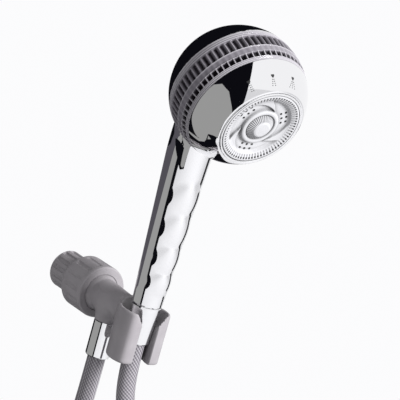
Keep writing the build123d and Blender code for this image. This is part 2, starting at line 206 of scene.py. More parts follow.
def lathe(outline, steps, wave=None):
    """Points of an outline (radius, height) turned about Z. wave(angle, r, h) changes r."""
    outline = np.asarray(outline, float)
    angle = np.arange(steps) * TAU / steps
    r = np.repeat(outline[:, :1], steps, 1)
    h = np.repeat(outline[:, 1:2], steps, 1)
    a = np.repeat(angle[None, :], len(outline), 0)
    if wave:
        r = wave(a, r, h)
    return np.stack([r * np.cos(a), r * np.sin(a), h], -1).reshape(-1, 3)


def ramp(x, low, high):
    """Smooth step from 0 at low to 1 at high."""
    t = np.clip((x - low) / (high - low), 0, 1)
    return t * t * (3 - 2 * t)


# ---- implicit solids, for mouldings whose faces flow into each other -----------------------------
def soft_min(a, b, k):
    """The union of two fields, filleted over about k."""
    h = np.clip(0.5 + 0.5 * (b - a) / k, 0, 1)
    return b + (a - b) * h - k * h * (1 - h)


def soft_max(a, b, k):
    return -soft_min(-a, -b, k)


def gradient(field, p, step=0.02):
    """Slope of a field at points, by central differences."""
    g = np.empty_like(p)
    for i in range(3):
        d = np.zeros(3)
        d[i] = step
        g[:, i] = (field(p + d) - field(p - d)) / (2 * step)
    return g


def surface(field, low, high, step):
    """A quad mesh where the field is zero, with points moved on to it, and its exact normals."""
    low, high = np.array(low, float), np.array(high, float)
    n = np.ceil((high - low) / step).astype(int) + 1
    axes = [low[i] + step * np.arange(n[i]) for i in range(3)]
    values = np.empty(n)
    for i, x in enumerate(axes[0]):
        y, z = np.meshgrid(axes[1], axes[2], indexing="ij")
        p = np.stack([np.full(y.size, x), y.ravel(), z.ravel()], -1)
        values[i] = field(p).reshape(n[1], n[2])
    cells = n - 1
    total = int(np.prod(cells))
    spot, count = np.zeros((total, 3)), np.zeros(total)
    quads = []
    for axis in range(3):
        head = [slice(None)] * 3
        tail = [slice(None)] * 3
        head[axis], tail[axis] = slice(0, -1), slice(1, None)
        a, b = values[tuple(head)], values[tuple(tail)]
        cross = (a < 0) != (b < 0)
        index = np.argwhere(cross)
        place = index.astype(float)
        place[:, axis] += a[cross] / (a[cross] - b[cross])
        p, q = (axis + 1) % 3, (axis + 2) % 3
        inner = np.ones(len(index), bool)
        for other in (p, q):
            inner &= (index[:, other] > 0) & (index[:, other] < cells[other])
        index, place = index[inner], place[inner]
        around = []
        for dp, dq in ((-1, -1), (0, -1), (0, 0), (-1, 0)):
            cell = index.copy()
            cell[:, p] += dp
            cell[:, q] += dq
            flat = np.ravel_multi_index(tuple(cell.T), tuple(cells))
            around.append(flat)
            count += np.bincount(flat, minlength=total)
            for i in range(3):
                spot[:, i] += np.bincount(flat, weights=place[:, i], minlength=total)
        quad = np.stack(around, -1)
        outward = a[cross][inner] < 0
        quads.append(np.where(outward[:, None], quad, quad[:, ::-1]))
    used = np.flatnonzero(count)
    number = np.full(total, -1)
    number[used] = np.arange(len(used))
    points = low + step * spot[used] / count[used][:, None]
    for _ in range(4):
        g = gradient(field, points)
        size = np.maximum((g * g).sum(1), 1e-6)
        move = -(field(points) / size)[:, None] * g
        length = np.linalg.norm(move, axis=1, keepdims=True)
        points = points + move * np.minimum(1, 0.5 * step / np.maximum(length, 1e-9))
    g = gradient(field, points)
    return points, number[np.concatenate(quads)], g / np.linalg.norm(g, axis=1, keepdims=True)


# ---- materials -----------------------------------------------------------------------------------
def shader(name, colour, roughness, metallic=0.0, **sockets):
    """A Principled material and its shader node."""
    material = bpy.data.materials.new(name)
    material.use_nodes = True
    node = material.node_tree.nodes["Principled BSDF"]
    node.inputs["Base Color"].default_value = (*colour, 1)
    node.inputs["Roughness"].default_value = roughness
    node.inputs["Metallic"].default_value = metallic
    for socket, value in sockets.items():
        node.inputs[socket.replace("_", " ")].default_value = value
    return material, node


def texture(material, kind, scale, **settings):
    """A texture node on the piece's own coordinates."""
    tree = material.node_tree
    node = tree.nodes.new(kind)
    node.inputs["Scale"].default_value = scale
    for socket, value in settings.items():
        node.inputs[socket].default_value = value
    where = tree.nodes.new("ShaderNodeTexCoord")
    tree.links.new(where.outputs["Object"], node.inputs["Vector"])
    return node


def spread(material, source, low, high, start=0.0, end=1.0):
    """A grey texture stretched to a range of numbers."""
    node = material.node_tree.nodes.new("ShaderNodeMapRange")
    for socket, value in (("From Min", start), ("From Max", end), ("To Min", low), ("To Max", high)):
        node.inputs[socket].default_value = value
    material.node_tree.links.new(source, node.inputs["Value"])
    return node.outputs["Result"]


def tint(material, source, stops):
    """A colour ramp over a grey texture."""
    node = material.node_tree.nodes.new("ShaderNodeValToRGB")
    ramp_ = node.color_ramp
    while len(ramp_.elements) < len(stops):
        ramp_.elements.new(0.5)
    for element, (place, colour) in zip(ramp_.elements, stops):
        element.position = place
        element.color = (*colour, 1)
    material.node_tree.links.new(source, node.inputs["Fac"])
    return node.outputs["Color"]


def bump(material, shader_node, source, strength, distance):
    """Fine relief, in metres."""
    node = material.node_tree.nodes.new("ShaderNodeBump")
    node.inputs["Strength"].default_value = strength
    node.inputs["Distance"].default_value = distance
    material.node_tree.links.new(source, node.inputs["Height"])
    material.node_tree.links.new(node.outputs["Normal"], shader_node.inputs["Normal"])


def chrome_material():
    """Bright plating, with faint dried-water haze in its roughness."""
    material, node = shader("chrome_plating", (0.90, 0.90, 0.91), 0.03, metallic=1.0)
    haze = texture(material, "ShaderNodeTexNoise", 90.0, Detail=6.0, Roughness=0.6)
    polish = spread(material, haze.outputs["Fac"], 0.018, 0.05, 0.35, 0.75)
    material.node_tree.links.new(polish, node.inputs["Roughness"])
    return material


def grey_plastic_material():
    """Satin moulded acetal with a fine spark-eroded grain."""
    material, node = shader("grey_acetal", (0.175, 0.165, 0.175), 0.42)
    cloud = texture(material, "ShaderNodeTexNoise", 60.0, Detail=4.0)
    shades = [(0.3, (0.16, 0.15, 0.16)), (0.7, (0.19, 0.18, 0.19))]
    material.node_tree.links.new(tint(material, cloud.outputs["Fac"], shades), node.inputs["Base Color"])
    grain = texture(material, "ShaderNodeTexNoise", 2600.0, Detail=2.0)
    satin = spread(material, grain.outputs["Fac"], 0.34, 0.50, 0.3, 0.7)
    material.node_tree.links.new(satin, node.inputs["Roughness"])
    bump(material, node, grain.outputs["Fac"], 0.25, 0.00006)
    return material


def face_plastic_material():
    """Pale satin plastic, darkened in its corners and recesses by painted shade."""
    material, node = shader("face_plastic", (0.29, 0.29, 0.30), 0.34)
    tree = material.node_tree
    cloud = texture(material, "ShaderNodeTexNoise", 110.0, Detail=5.0)
    # Painted shade: an ambient occlusion node multiplies the base colour down to a quarter in corners and
    # recesses.
    corners = tree.nodes.new("ShaderNodeAmbientOcclusion")
    corners.inputs["Distance"].default_value = 0.0035
    corners.samples = 12
    shades = [(0.3, (0.28, 0.28, 0.29)), (0.7, (0.305, 0.305, 0.315))]
    tree.links.new(tint(material, cloud.outputs["Fac"], shades), corners.inputs["Color"])
    shade = tree.nodes.new("ShaderNodeMix")
    shade.data_type = "RGBA"
    shade.blend_type = "MULTIPLY"
    shade.inputs["Factor"].default_value = 1.0
    tree.links.new(corners.outputs["Color"], shade.inputs["A"])
    tree.links.new(spread(material, corners.outputs["AO"], 0.25, 1.0), shade.inputs["B"])
    tree.links.new(shade.outputs["Result"], node.inputs["Base Color"])
    grain = texture(material, "ShaderNodeTexNoise", 2200.0, Detail=2.0)
    bump(material, node, grain.outputs["Fac"], 0.15, 0.00005)
    return material


def plain_material(name, colour, roughness, metallic=0.0):
    """A base finish for small and inner pieces, with a little mottle and grain."""
    material, node = shader(name, colour, roughness, metallic)
    mottle = texture(material, "ShaderNodeTexNoise", 140.0, Detail=4.0)
    dark = tuple(0.85 * c for c in colour)
    light = tuple(min(1.0, 1.08 * c) for c in colour)
    shades = tint(material, mottle.outputs["Fac"], [(0.3, dark), (0.7, light)])
    material.node_tree.links.new(shades, node.inputs["Base Color"])
    fine = texture(material, "ShaderNodeTexNoise", 1500.0, Detail=2.0)
    bump(material, node, fine.outputs["Fac"], 0.2, 0.00005)
    return material


def acrylic_material():
    """Clear moulded acrylic, faintly smoky, with painted shade in its pockets and painted light on its lands."""
    material, node = shader("clear_acrylic", (0.5, 0.48, 0.52), 0.08, IOR=1.40)
    tree = material.node_tree
    node.inputs["Transmission Weight"].default_value = 0.25
    # Painted shade and light: the base colour runs from near black deep in the pockets to pale grey at the ring's
    # outer rim.
    where = tree.nodes.new("ShaderNodeTexCoord")
    depth = tree.nodes.new("ShaderNodeVectorMath")
    depth.operation = "DISTANCE"
    depth.inputs[1].default_value = tuple(HEAD.origin)
    tree.links.new(where.outputs["Object"], depth.inputs[0])
    share = spread(material, depth.outputs["Value"], 0.0, 1.0, (HEAD_R - 2.3) * MM, HEAD_R * MM)
    shades = [(0.0, (0.006, 0.005, 0.007)), (0.4, (0.04, 0.036, 0.043)),
              (0.8, (0.17, 0.16, 0.18)), (1.0, (0.33, 0.32, 0.34))]
    tree.links.new(tint(material, share, shades), node.inputs["Base Color"])
    haze = texture(material, "ShaderNodeTexNoise", 160.0, Detail=4.0)
    tree.links.new(spread(material, haze.outputs["Fac"], 0.05, 0.14, 0.3, 0.7), node.inputs["Roughness"])
    return material


CHROME = chrome_material()
GREY = grey_plastic_material()
FACE = face_plastic_material()
ACRYLIC = acrylic_material()
PRINT = plain_material("sign_ink", (0.012, 0.012, 0.013), 0.35)
RUBBER = plain_material("rubber", (0.02, 0.02, 0.021), 0.6)
STEEL = plain_material("stainless_steel", (0.62, 0.62, 0.63), 0.28, 1.0)
BRASS = plain_material("turned_brass", (0.72, 0.52, 0.22), 0.25, 1.0)
WHITE = plain_material("natural_plastic", (0.78, 0.78, 0.75), 0.45)
DARK = plain_material("dark_moulding", (0.035, 0.034, 0.037), 0.38)
STRAP = plain_material("nylon_strap", (0.025, 0.025, 0.028), 0.7)

BY_SLOT = {"chrome": CHROME, "clear_acrylic": ACRYLIC, "grey_plastic": GREY, "face_plastic": FACE,
           "dark_plastic": DARK, "white_plastic": WHITE, "print": PRINT, "rubber": RUBBER, "steel": STEEL,
           "brass": BRASS, "strap": STRAP, "hose": RUBBER}
for entry in frame["record"]["subparts"]:
    node_object = frame["nodes"][entry["node"]]
    node_object.data.materials.clear()
    node_object.data.materials.append(BY_SLOT[entry["material_slot"]])


# ---- hose: one cord from the bracket's outlet to the handset -------------------------------------
HOSE_D = 0.015
HOSE_RINGS = 1100
HOSE_SIDES = 40
HOSE_INSET = 0.00008
BRAID_STARTS = 16
BRAID_PITCH = 0.0031
OUTLET_ROUTE = [(0, -0.04427, -0.07306), (0, -0.03281, -0.09763), (-0.003, -0.0235, -0.124),
                (-0.008, -0.011, -0.152), (-0.014, 0.004, -0.181), (-0.018, 0.0158, -0.211)]
HANDSET_ROUTE = [(0, -0.09571, -0.06449), (0, -0.08461, -0.08829), (0, -0.0806, -0.116),
                 (0.004, -0.0855, -0.145), (0.011, -0.096, -0.173), (0.016, -0.1085, -0.201),
                 (0.0185, -0.1185, -0.228)]
COIL_CENTRE = (-0.050, -0.236)
COIL_R = 0.0725
COIL_HALF_SHIFT = 0.0185
COIL_TURNS = 2.5
COIL_POINTS_PER_TURN = 16


def coil_points():
    """Turns of the tied coil, beside each other, from the wall side round to the front."""
    steps = int(COIL_TURNS * COIL_POINTS_PER_TURN)
    points = []
    for i in range(steps + 1):
        angle = -TAU * COIL_TURNS * i / steps
        shift = COIL_HALF_SHIFT * (2 * i / steps - 1)
        y, z = COIL_CENTRE[0] + COIL_R * math.cos(angle), COIL_CENTRE[1] + COIL_R * math.sin(angle)
        points.append((shift, y, z))
    return points


def nurbs_line(name, route, resolution):
    """The route's smooth line, as evenly drawn points."""
    curve = bpy.data.curves.new(name, "CURVE")
    curve.dimensions = "3D"
    spline = curve.splines.new("NURBS")
    spline.points.add(len(route) - 1)
    for point, place in zip(spline.points, route):
        point.co = (*place, 1)
    spline.order_u = 3
    spline.use_endpoint_u = True
    spline.resolution_u = resolution
    obj = bpy.data.objects.new(name, curve)
    mesh = bpy.data.meshes.new_from_object(obj)
    points = np.array([v.co[:] for v in mesh.vertices])
    bpy.data.objects.remove(obj)
    bpy.data.curves.remove(curve)
    return points


def evenly(points, count):
    """The same line with evenly spaced points."""
    along = np.concatenate([[0], np.cumsum(np.linalg.norm(np.diff(points, axis=0), axis=1))])
    want = np.linspace(0, along[-1], count)
    return np.stack([np.interp(want, along, points[:, i]) for i in range(3)], -1), want


def along_frames(points):
    """Two sides of a line at each point, which turn as little as they can along it."""
    tangent = np.gradient(points, axis=0)
    tangent /= np.linalg.norm(tangent, axis=1, keepdims=True)
    side = np.empty_like(points)
    side[0] = np.cross(tangent[0], (0, 0, 1.0) if abs(tangent[0][2]) < 0.9 else (1.0, 0, 0))
    for i in range(1, len(points)):
        side[i] = side[i - 1] - tangent[i] * (side[i - 1] @ tangent[i])
        side[i] /= np.linalg.norm(side[i])
    side[0] /= np.linalg.norm(side[0])
    return side, np.cross(tangent, side)


def hose_material():
    """Grey vinyl over a spiral braid: fine diagonal ribs both ways, one stronger."""
    material, node = shader("braided_vinyl", (0.30, 0.28, 0.31), 0.34)
    node.inputs["Coat Weight"].default_value = 0.25
    node.inputs["Coat Roughness"].default_value = 0.2
    tree = material.node_tree
    lay = tree.nodes.new("ShaderNodeAttribute")
    lay.attribute_name = "hose_lay"
    split = tree.nodes.new("ShaderNodeSeparateXYZ")
    tree.links.new(lay.outputs["Vector"], split.inputs["Vector"])

    def maths(kind, a, b=None):
        step = tree.nodes.new("ShaderNodeMath")
        step.operation = kind
        for socket, value in zip(step.inputs, (a, b)):
            if isinstance(value, (int, float)):
                socket.default_value = value
            elif value is not None:
                tree.links.new(value, socket)
        return step.outputs[0]

    around, along = split.outputs["X"], split.outputs["Y"]
    waves = []
    for sign in (1, -1):
        turn = maths("MULTIPLY", around, BRAID_STARTS * TAU)
        phase = maths("ADD", turn, maths("MULTIPLY", along, sign * TAU / BRAID_PITCH))
        waves.append(maths("MULTIPLY_ADD", maths("SINE", phase), 0.5))
        waves[-1].node.inputs[2].default_value = 0.5
    weave = maths("ADD", maths("MULTIPLY", waves[0], 0.72), maths("MULTIPLY", waves[1], 0.28))
    shades = [(0.15, (0.06, 0.055, 0.065)), (0.55, (0.13, 0.122, 0.135)), (0.9, (0.22, 0.21, 0.225))]
    tree.links.new(tint(material, weave, shades), node.inputs["Base Color"])
    bump(material, node, weave, 0.5, 0.0003)
    return material


def braid_lay(mesh, rings, along):
    """Where each face corner lies on the hose: its share of a turn round it, and metres along it."""
    lay = mesh.attributes.new("hose_lay", "FLOAT_VECTOR", "CORNER")
    corner = np.empty(len(mesh.loops), int)
    mesh.loops.foreach_get("vertex_index", corner)
    ring = np.minimum(corner // HOSE_SIDES, rings - 1)
    around = (corner % HOSE_SIDES) / HOSE_SIDES
    sizes = np.empty(len(mesh.polygons), int)
    mesh.polygons.foreach_get("loop_total", sizes)
    face = np.repeat(np.arange(len(sizes)), sizes)
    wraps = np.zeros(len(sizes), bool)
    np.logical_or.at(wraps, face, around > 0.9)
    around = np.where(wraps[face] & (around < 0.1), around + 1, around)
    values = np.stack([around, along[ring], np.zeros(len(ring))], -1).astype(np.float32)
    lay.data.foreach_set("vector", values.ravel())


def make_hose():
    route = OUTLET_ROUTE + coil_points() + HANDSET_ROUTE[::-1]
    path, along = evenly(nurbs_line("hose_route", route, 12), HOSE_RINGS)
    side, other = along_frames(path)
    angle = np.arange(HOSE_SIDES) * TAU / HOSE_SIDES
    radius = HOSE_D / 2 - HOSE_INSET
    out = np.cos(angle)[None, :, None] * side[:, None] + np.sin(angle)[None, :, None] * other[:, None]
    verts = np.concatenate([(path[:, None] + radius * out).reshape(-1, 3), path[:1], path[-1:]])
    faces = grid_faces(HOSE_RINGS, HOSE_SIDES, flip=True).tolist()
    first, last = HOSE_RINGS * HOSE_SIDES, HOSE_RINGS * HOSE_SIDES + 1
    end = (HOSE_RINGS - 1) * HOSE_SIDES
    for i in range(HOSE_SIDES):
        j = (i + 1) % HOSE_SIDES
        faces.append([first, i, j])
        faces.append([last, end + j, end + i])
    mesh = bpy.data.meshes.new("hose")
    mesh.from_pydata(verts.tolist(), [], faces)
    mesh.shade_smooth()
    braid_lay(mesh, HOSE_RINGS, along)
    mesh.materials.append(hose_material())
    obj = link("hose", mesh)
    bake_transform(obj)
    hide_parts("hose_outlet_leg", "hose_handset_leg", "hose_coil")


make_hose()


# ---- handle and back of the head -----------------------------------------------------------------
HANDLE_Y = -114.0
HANDLE_FOOT_Z = 13.5
HANDLE_FOOT_R, HANDLE_TOP_R, HANDLE_TAPER = 12.0, 18.6, 0.0455
NECK_Z, NECK_CURVE = 130.0, 0.0024
HEAD_Y, HEAD_Z = -151.0, 196.0
HEAD_DIP = math.radians(23.5)
HEAD_N = np.array([0.0, -math.cos(HEAD_DIP), -math.sin(HEAD_DIP)])
SHELL = 2.6
NECK_FILLET = 10.0
REAR_STEP, BRACKET_STEP = 1.6, 1.2  # mesh cells
RING_BACK_U = -13.5
RING_FRONT_U = 17.4
FACE_U = 38.7
CREASES = (26.0, 45.0, 68.0, 94.0, 120.0)
BEAD_RISE = 2.0
BEAD_SLIM = 0.86


def handle_radius(z):
    return np.minimum(HANDLE_FOOT_R + (z - HANDLE_FOOT_Z) * HANDLE_TAPER, HANDLE_TOP_R)


def handle_axis(z):
    """The handle's Y at a height. Its top curves forward into the head."""
    return HANDLE_Y - NECK_CURVE * np.maximum(z - NECK_Z, 0) ** 2


def finger_beads(x, y, z):
    """Long egg shapes down the front of the handle, meeting in creases."""
    nearest = np.full_like(z, 99.0)
    for low, high in zip(CREASES, CREASES[1:]):
        middle = (low + high) / 2
        r = float(handle_radius(middle))
        half = (high - low) / 2 / math.sqrt(1 - (1 - BEAD_RISE / r) ** 2)
        slim = BEAD_SLIM * r
        depth = y - HANDLE_Y + r + BEAD_RISE - slim
        egg = np.sqrt((x ** 2 + depth ** 2) / slim ** 2 + ((z - middle) / half) ** 2)
        nearest = np.minimum(nearest, (egg - 1) * slim)
    return nearest


def rear_field(p):
    """Handle and back dome as one hollow moulding, open where the turning front goes in."""
    x, y, z = p.T
    axis = handle_axis(z)
    handle = soft_min(np.hypot(x, y - axis) - handle_radius(z), finger_beads(x, y, z), 0.8)
    handle = soft_max(handle, z - HEAD_Z, 3.0)
    centre = np.stack([x, y - HEAD_Y, z - HEAD_Z], -1)
    out = np.linalg.norm(centre, axis=1)
    u = centre @ HEAD_N
    ball = np.maximum(out - HEAD_R, u - RING_BACK_U - 1.0)
    body = soft_min(handle, ball, NECK_FILLET)
    shell = np.maximum(body, -(body + SHELL))
    drum_space = np.maximum(out - HEAD_R - 0.75, RING_BACK_U - 0.08 - u)
    shell = soft_max(shell, -drum_space, 0.5)
    return soft_max(shell, HANDLE_FOOT_Z + 0.02 - z, 0.5)


def make_rear_shell():
    verts, faces, normals = surface(rear_field, (-54, -206, 11), (54, -94, 250), REAR_STEP)
    obj = build("rear_shell_body", SQUARE, verts, faces, CHROME, normals=normals)
    return settle(obj, "handset", "chrome", "rear_shell")


make_rear_shell()


# ---- bracket -------------------------------------------------------------------------------------
CRADLE_R = 21.0
CRADLE_TOP_Z = 9.5
CRADLE_BOTTOM_Z = -33.0
CRADLE_FLAT_Y = HANDLE_Y - 12.5
SLOT_HALF = 8.0
OUTLET_Y = -71.0
BALL_R, BORE_R, SPIGOT_R = 16.0, 5.0, 8.2
NECK_R, NECK_START_S, NECK_END_S, NECK_SLOPE = 13.4, 54.0, 104.0, 0.052
SOCKET_GAP = 0.12
CONE_TOP_R, CONE_BOTTOM_R, CONE_BOTTOM_Z = 11.8, 9.7, -18.0


def cone_radius(z):
    share = (z - CONE_BOTTOM_Z) / (HANDLE_FOOT_Z - CONE_BOTTOM_Z)
    return CONE_BOTTOM_R + share * (CONE_TOP_R - CONE_BOTTOM_R)


def bracket_field(p):
    """Swivel ball, neck, hose outlet and split cradle. s runs out along the shower arm."""
    x, y, z = p.T
    s = -y
    ball = np.sqrt(x ** 2 + (s - BALL_S) ** 2 + z ** 2) - BALL_R
    along = np.hypot(x, z)
    neck = along - (NECK_R - (s - NECK_START_S) * NECK_SLOPE)
    neck = np.maximum(neck, np.maximum(BALL_S - s, s - NECK_END_S))
    around = np.hypot(x, y - OUTLET_Y)
    stub = soft_max(around - (10.4 + 0.5 * ramp(z, -14, -6)), -17.5 - z, 0.8)
    stub = np.maximum(stub, z - 6)
    spigot = np.maximum(around - SPIGOT_R, np.maximum(-29 - z, z + 5))
    cradle_r = np.hypot(x, y - HANDLE_Y)
    cradle = soft_max(cradle_r - CRADLE_R, CRADLE_FLAT_Y - y, 3.0)
    cradle = soft_max(cradle, z - CRADLE_TOP_Z, 2.4)
    cradle = soft_max(cradle, CRADLE_BOTTOM_Z - z, 2.4)
    body = soft_min(neck, stub, 5.0)
    body = soft_min(body, cradle, 7.0)
    socket_r = np.interp(z, (CRADLE_BOTTOM_Z - 1, CONE_BOTTOM_Z, -3, 0.5, CRADLE_TOP_Z + 1),
                         (9.4, CONE_BOTTOM_R + SOCKET_GAP, cone_radius(-3) + SOCKET_GAP, 14.5, 19.2))
    socket = (cradle_r - socket_r) * 0.85
    slot = soft_max(np.abs(x) - SLOT_HALF, y - HANDLE_Y, 0.5)
    cut = soft_min(socket, slot, 1.0)
    body = soft_max(body, -cut, 1.2)
    body = np.minimum(body, spigot)
    body = np.minimum(body, ball)
    bore = np.minimum(np.maximum(along - BORE_R, s - 74), np.maximum(around - BORE_R, z))
    return np.maximum(body, -bore)


def make_bracket():
    verts, faces, _ = surface(bracket_field, (-23, -129, -36), (23, -31, 19), BRACKET_STEP)
    obj = build("bracket_body", SQUARE, verts, faces, GREY, sharp=40)
    return settle(obj, "bracket", "grey_plastic", "bracket")


make_bracket()


# ---- turned pieces -------------------------------------------------------------------------------
def sphere_r(u, radius=HEAD_R):
    """Radius of a ball's circle at a height from its centre."""
    return math.sqrt(radius ** 2 - u ** 2)


def rounded_loop(outline, radius, arc=4):
    """A closed section outline with its corners rounded."""
    ring = [outline[-1]] + list(outline) + [outline[0]]
    return rounded(ring, radius, arc)[1:-1]


def turned_ring(name, place, outline, material, steps=192, wave=None, radius=0.5, sharp=30):
    """A closed turned solid from the outline of its section. wave(angle, r, h) changes r."""
    loop = rounded_loop(outline, radius)
    verts = lathe(loop, steps, wave)
    return build(name, place, verts, ring_faces(len(loop), steps), material, sharp=sharp)


FLUTES = 14


def make_inlet_fitting():
    """Collar that screws on the shower arm, with grip ribs, and the threaded barrel behind the nut."""
    collar = [(10.45, 0.4), (11.2, 0), (15.0, 0), (16.0, 1.4), (16.0, 20.5), (15.3, 22.0), (15.3, 24.4),
              (14.6, 25.5), (13.5, 25.5)]
    barrel = [(13.5, 28.5), (18.5, 28.5), (18.5, 46), (16.5, 46), (16.5, 36), (9.2, 36), (9.2, 31), (7.0, 31)]
    thread = [(7.0, 17.6), (9.4, 17.6), (9.4, 14.5), (11.15, 14.5), (11.15, 13), (10.45, 13)]
    outline = collar + barrel + thread

    def ribs(a, r, h):
        band = ramp(h, 1.5, 3.5) * (1 - ramp(h, 18.5, 21.0)) * (r > 14.0) * (h < 24)
        hollow = np.clip(-np.cos(FLUTES * a) * 1.35 + 0.35, 0, 1)
        return r - 1.15 * band * ramp(hollow, 0, 1)

    fine = []
    for a, b in zip(outline, outline[1:] + outline[:1]):
        ribbed = a[0] > 14.5 and b[0] > 14.5 and b[1] < 22
        count = max(1, int(math.dist(a, b) / 1.2)) if ribbed else 1
        fine += [(a[0] + (b[0] - a[0]) * i / count, a[1] + (b[1] - a[1]) * i / count) for i in range(count)]
    obj = turned_ring("inlet_collar", ARM, fine, GREY, steps=336, wave=ribs, radius=0.45)
    return settle(obj, "wall_fitting", "grey_plastic", "inlet_fitting")


def make_retaining_nut():
    """Fluted nut that clamps the ball, with a flat front ring."""
    low, high = 27.7, 54.9
    ball_mouth = sphere_r(high - BALL_S, 16.1)
    bore = [(18.6, low), (21.0, low), (21.9, 29.2)]
    wall = [(21.9, h) for h in np.linspace(30.5, 52.5, 20)]
    front = [(21.6, 54.2), (20.6, high), (ball_mouth + 0.4, high)]
    seat = [(sphere_r(h - BALL_S, 16.06), h) for h in (54.4, 53, 51.5, 50, 48.5, 47.2, 46.4)]
    outline = bore + wall + front + seat + [(18.6, 46.3)]

    def flutes(a, r, h):
        band = ramp(h, 31.5, 33.5) * (1 - ramp(h, 48.5, 51.5)) * (r > 20.5)
        hollow = np.clip(np.cos(FLUTES * a) * 1.7 - 0.45, 0, 1)
        return r - 0.75 * band * ramp(hollow, 0, 1)

    obj = turned_ring("lock_nut_body", ARM, outline, GREY, steps=336, wave=flutes, radius=0.6)
    return settle(obj, "lock_nut", "grey_plastic", "retaining_nut")


def make_outlet_connector():
    outline = [(8.25, -17.6), (9.6, -17.6), (9.9, -18.2), (9.9, -46.7), (9.3, -47.5), (7.6, -47.5),
               (7.6, -34), (8.25, -34)]
    obj = turned_ring("outlet_sleeve", OUTLET, outline, CHROME, radius=0.35)
    return settle(obj, "bracket", "chrome", "outlet_connector")


def make_cone_nut():
    top = HANDLE_FOOT_Z - 0.1
    outside = [(10.25, top), (CONE_TOP_R - 0.4, top), (CONE_TOP_R, top - 0.6),
               (CONE_BOTTOM_R + 0.08, CONE_BOTTOM_Z + 1.0), (CONE_BOTTOM_R - 0.7, CONE_BOTTOM_Z)]
    bore = [(7.8, CONE_BOTTOM_Z), (7.8, -2.6), (9.05, -2.6), (9.05, 1.5), (10.25, 1.5)]
    outline = outside + bore
    obj = turned_ring("hose_cone_nut", HANDLE, outline, CHROME, radius=0.35)
    return settle(obj, "handset", "chrome", "cone_nut")


make_inlet_fitting()
make_retaining_nut()
make_outlet_connector()
make_cone_nut()


# ---- turning front of the head -------------------------------------------------------------------
def make_front_shell():
    low = RING_FRONT_U + 0.03
    outer = [(sphere_r(u), u) for u in np.linspace(low + 0.5, FACE_U - 0.5, 46)]
    inner = [(sphere_r(u, HEAD_R - SHELL), u) for u in np.linspace(FACE_U - 2.0, low + 4, 12)]
    lip = [(34.3, FACE_U + 0.05), (33.5, FACE_U - 0.35), (33.45, FACE_U - 1.8)]
    flange = [(44.5, low + 2), (43.5, low + 2)]
    outline = [(43.5, low), (sphere_r(low) - 0.25, low)] + outer + lip + inner + flange
    obj = turned_ring("front_shell_body", HEAD, outline, CHROME, steps=256, radius=0.25, sharp=25)
    return settle(obj, "spray_drum", "chrome", "front_shell")


def make_bezel():
    outline = [(31.7, FACE_U - 1.7), (33.38, FACE_U - 1.7), (33.38, FACE_U + 0.1), (33.0, FACE_U + 0.55),
               (32.2, FACE_U + 0.6), (31.7, FACE_U + 0.25)]
    obj = turned_ring("face_bezel", HEAD, outline, CHROME, steps=256, radius=0.25)
    return settle(obj, "spray_drum", "chrome", "bezel_ring")


TEETH = 64
STEPS_PER_TOOTH = 14
RING_INNER_R = 46.45
TALL_DEPTH, POCKET_DEPTH, BAR_DEPTH = 2.0, 2.3, 0.15
RIM_LINES = ((-11.6, 0.55, 0.45), (-9.3, 0.55, 0.5), (-7.35, 0.5, 0.7), (15.1, 0.35, 0.5), (16.3, 0.35, 0.45))


def make_selector_ring():
    """Clear grip ring: lined rims, a row of tall prisms, a smooth waist and a row of square pockets."""
    steps = TEETH * STEPS_PER_TOOTH
    bands = ((RING_BACK_U, -7.0, 22), (-7.0, 4.6, 26), (4.6, 9.8, 10), (9.8, 14.6, 16),
             (14.6, RING_FRONT_U - 0.05, 14))
    u = np.unique(np.concatenate([np.linspace(*band) for band in bands]))
    a = np.arange(steps) * TAU / steps
    rim = np.sqrt(HEAD_R ** 2 - u ** 2)[:, None]
    uu = u[:, None]
    phase = (a * TEETH / TAU) % 1.0
    prism = np.abs(phase * 2 - 1)[None, :]
    tall = ramp(uu, -7.2, -6.2) * (1 - ramp(uu, 3.6, 4.6))
    depth = tall * (0.25 + TALL_DEPTH * prism ** 1.1)
    depth = depth + 0.7 * ramp(uu, 4.4, 5.4) * (1 - ramp(uu, 9.2, 9.9)) * (0.6 + 0.4 * prism)
    shifted = np.abs(((phase + 0.5) % 1.0) * 2 - 1)[None, :]
    pocket = ramp(uu, 9.8, 10.3) * (1 - ramp(uu, 14.0, 14.5)) * (1 - ramp(shifted, 0.66, 0.80))
    bars = ramp(uu, 9.8, 10.3) * (1 - ramp(uu, 14.0, 14.5)) - pocket
    depth = depth + POCKET_DEPTH * pocket + BAR_DEPTH * bars
    for line, wide, deep in RIM_LINES:
        depth = depth + deep * np.exp(-((uu - line) / wide) ** 2)
    r = rim - depth
    bore = np.full((1, steps), RING_INNER_R)
    rows_r = np.concatenate([bore, np.maximum(r, RING_INNER_R + 0.7), bore])
    rows_u = np.concatenate([[RING_BACK_U], u, [RING_FRONT_U - 0.05]])
    rows_h = np.repeat(rows_u[:, None], steps, 1)
    verts = np.stack([rows_r * np.cos(a), rows_r * np.sin(a), rows_h], -1).reshape(-1, 3)
    obj = build("grip_ring", HEAD, verts, ring_faces(len(rows_u), steps), ACRYLIC, sharp=28)
    return settle(obj, "spray_drum", "clear_acrylic", "selector_ring")


